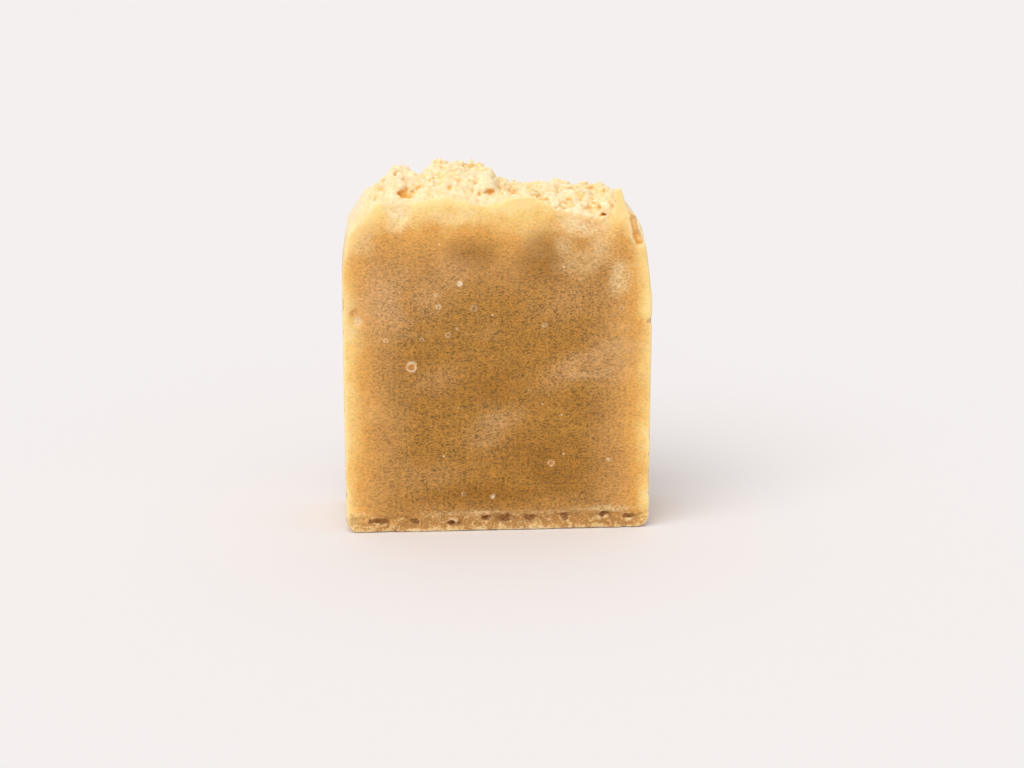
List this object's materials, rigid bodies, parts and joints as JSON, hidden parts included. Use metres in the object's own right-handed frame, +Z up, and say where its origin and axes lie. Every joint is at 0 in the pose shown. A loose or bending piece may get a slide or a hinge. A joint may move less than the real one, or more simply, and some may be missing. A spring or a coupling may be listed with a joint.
{
  "type": "bar of soap",
  "caption": "Hand-made bar of soap cut as a slice from a loaf, with flat cut faces, mould-side walls and a crumbled, heaped top.",
  "frame": {"origin": "centre of the base, on the plane it stands on", "axes": "+Z up through the crumbled top; +X along the width, from mould wall to mould wall; +Y through the thickness, with the front cut face looking along -Y"},
  "size_m": [0.0636, 0.0254, 0.0762],
  "materials": {
    "soap": "matte, waxy, slightly translucent"
  },
  "bodies": {
    "root": {"soap_bar": "soap"}
  },
  "joints": []
}
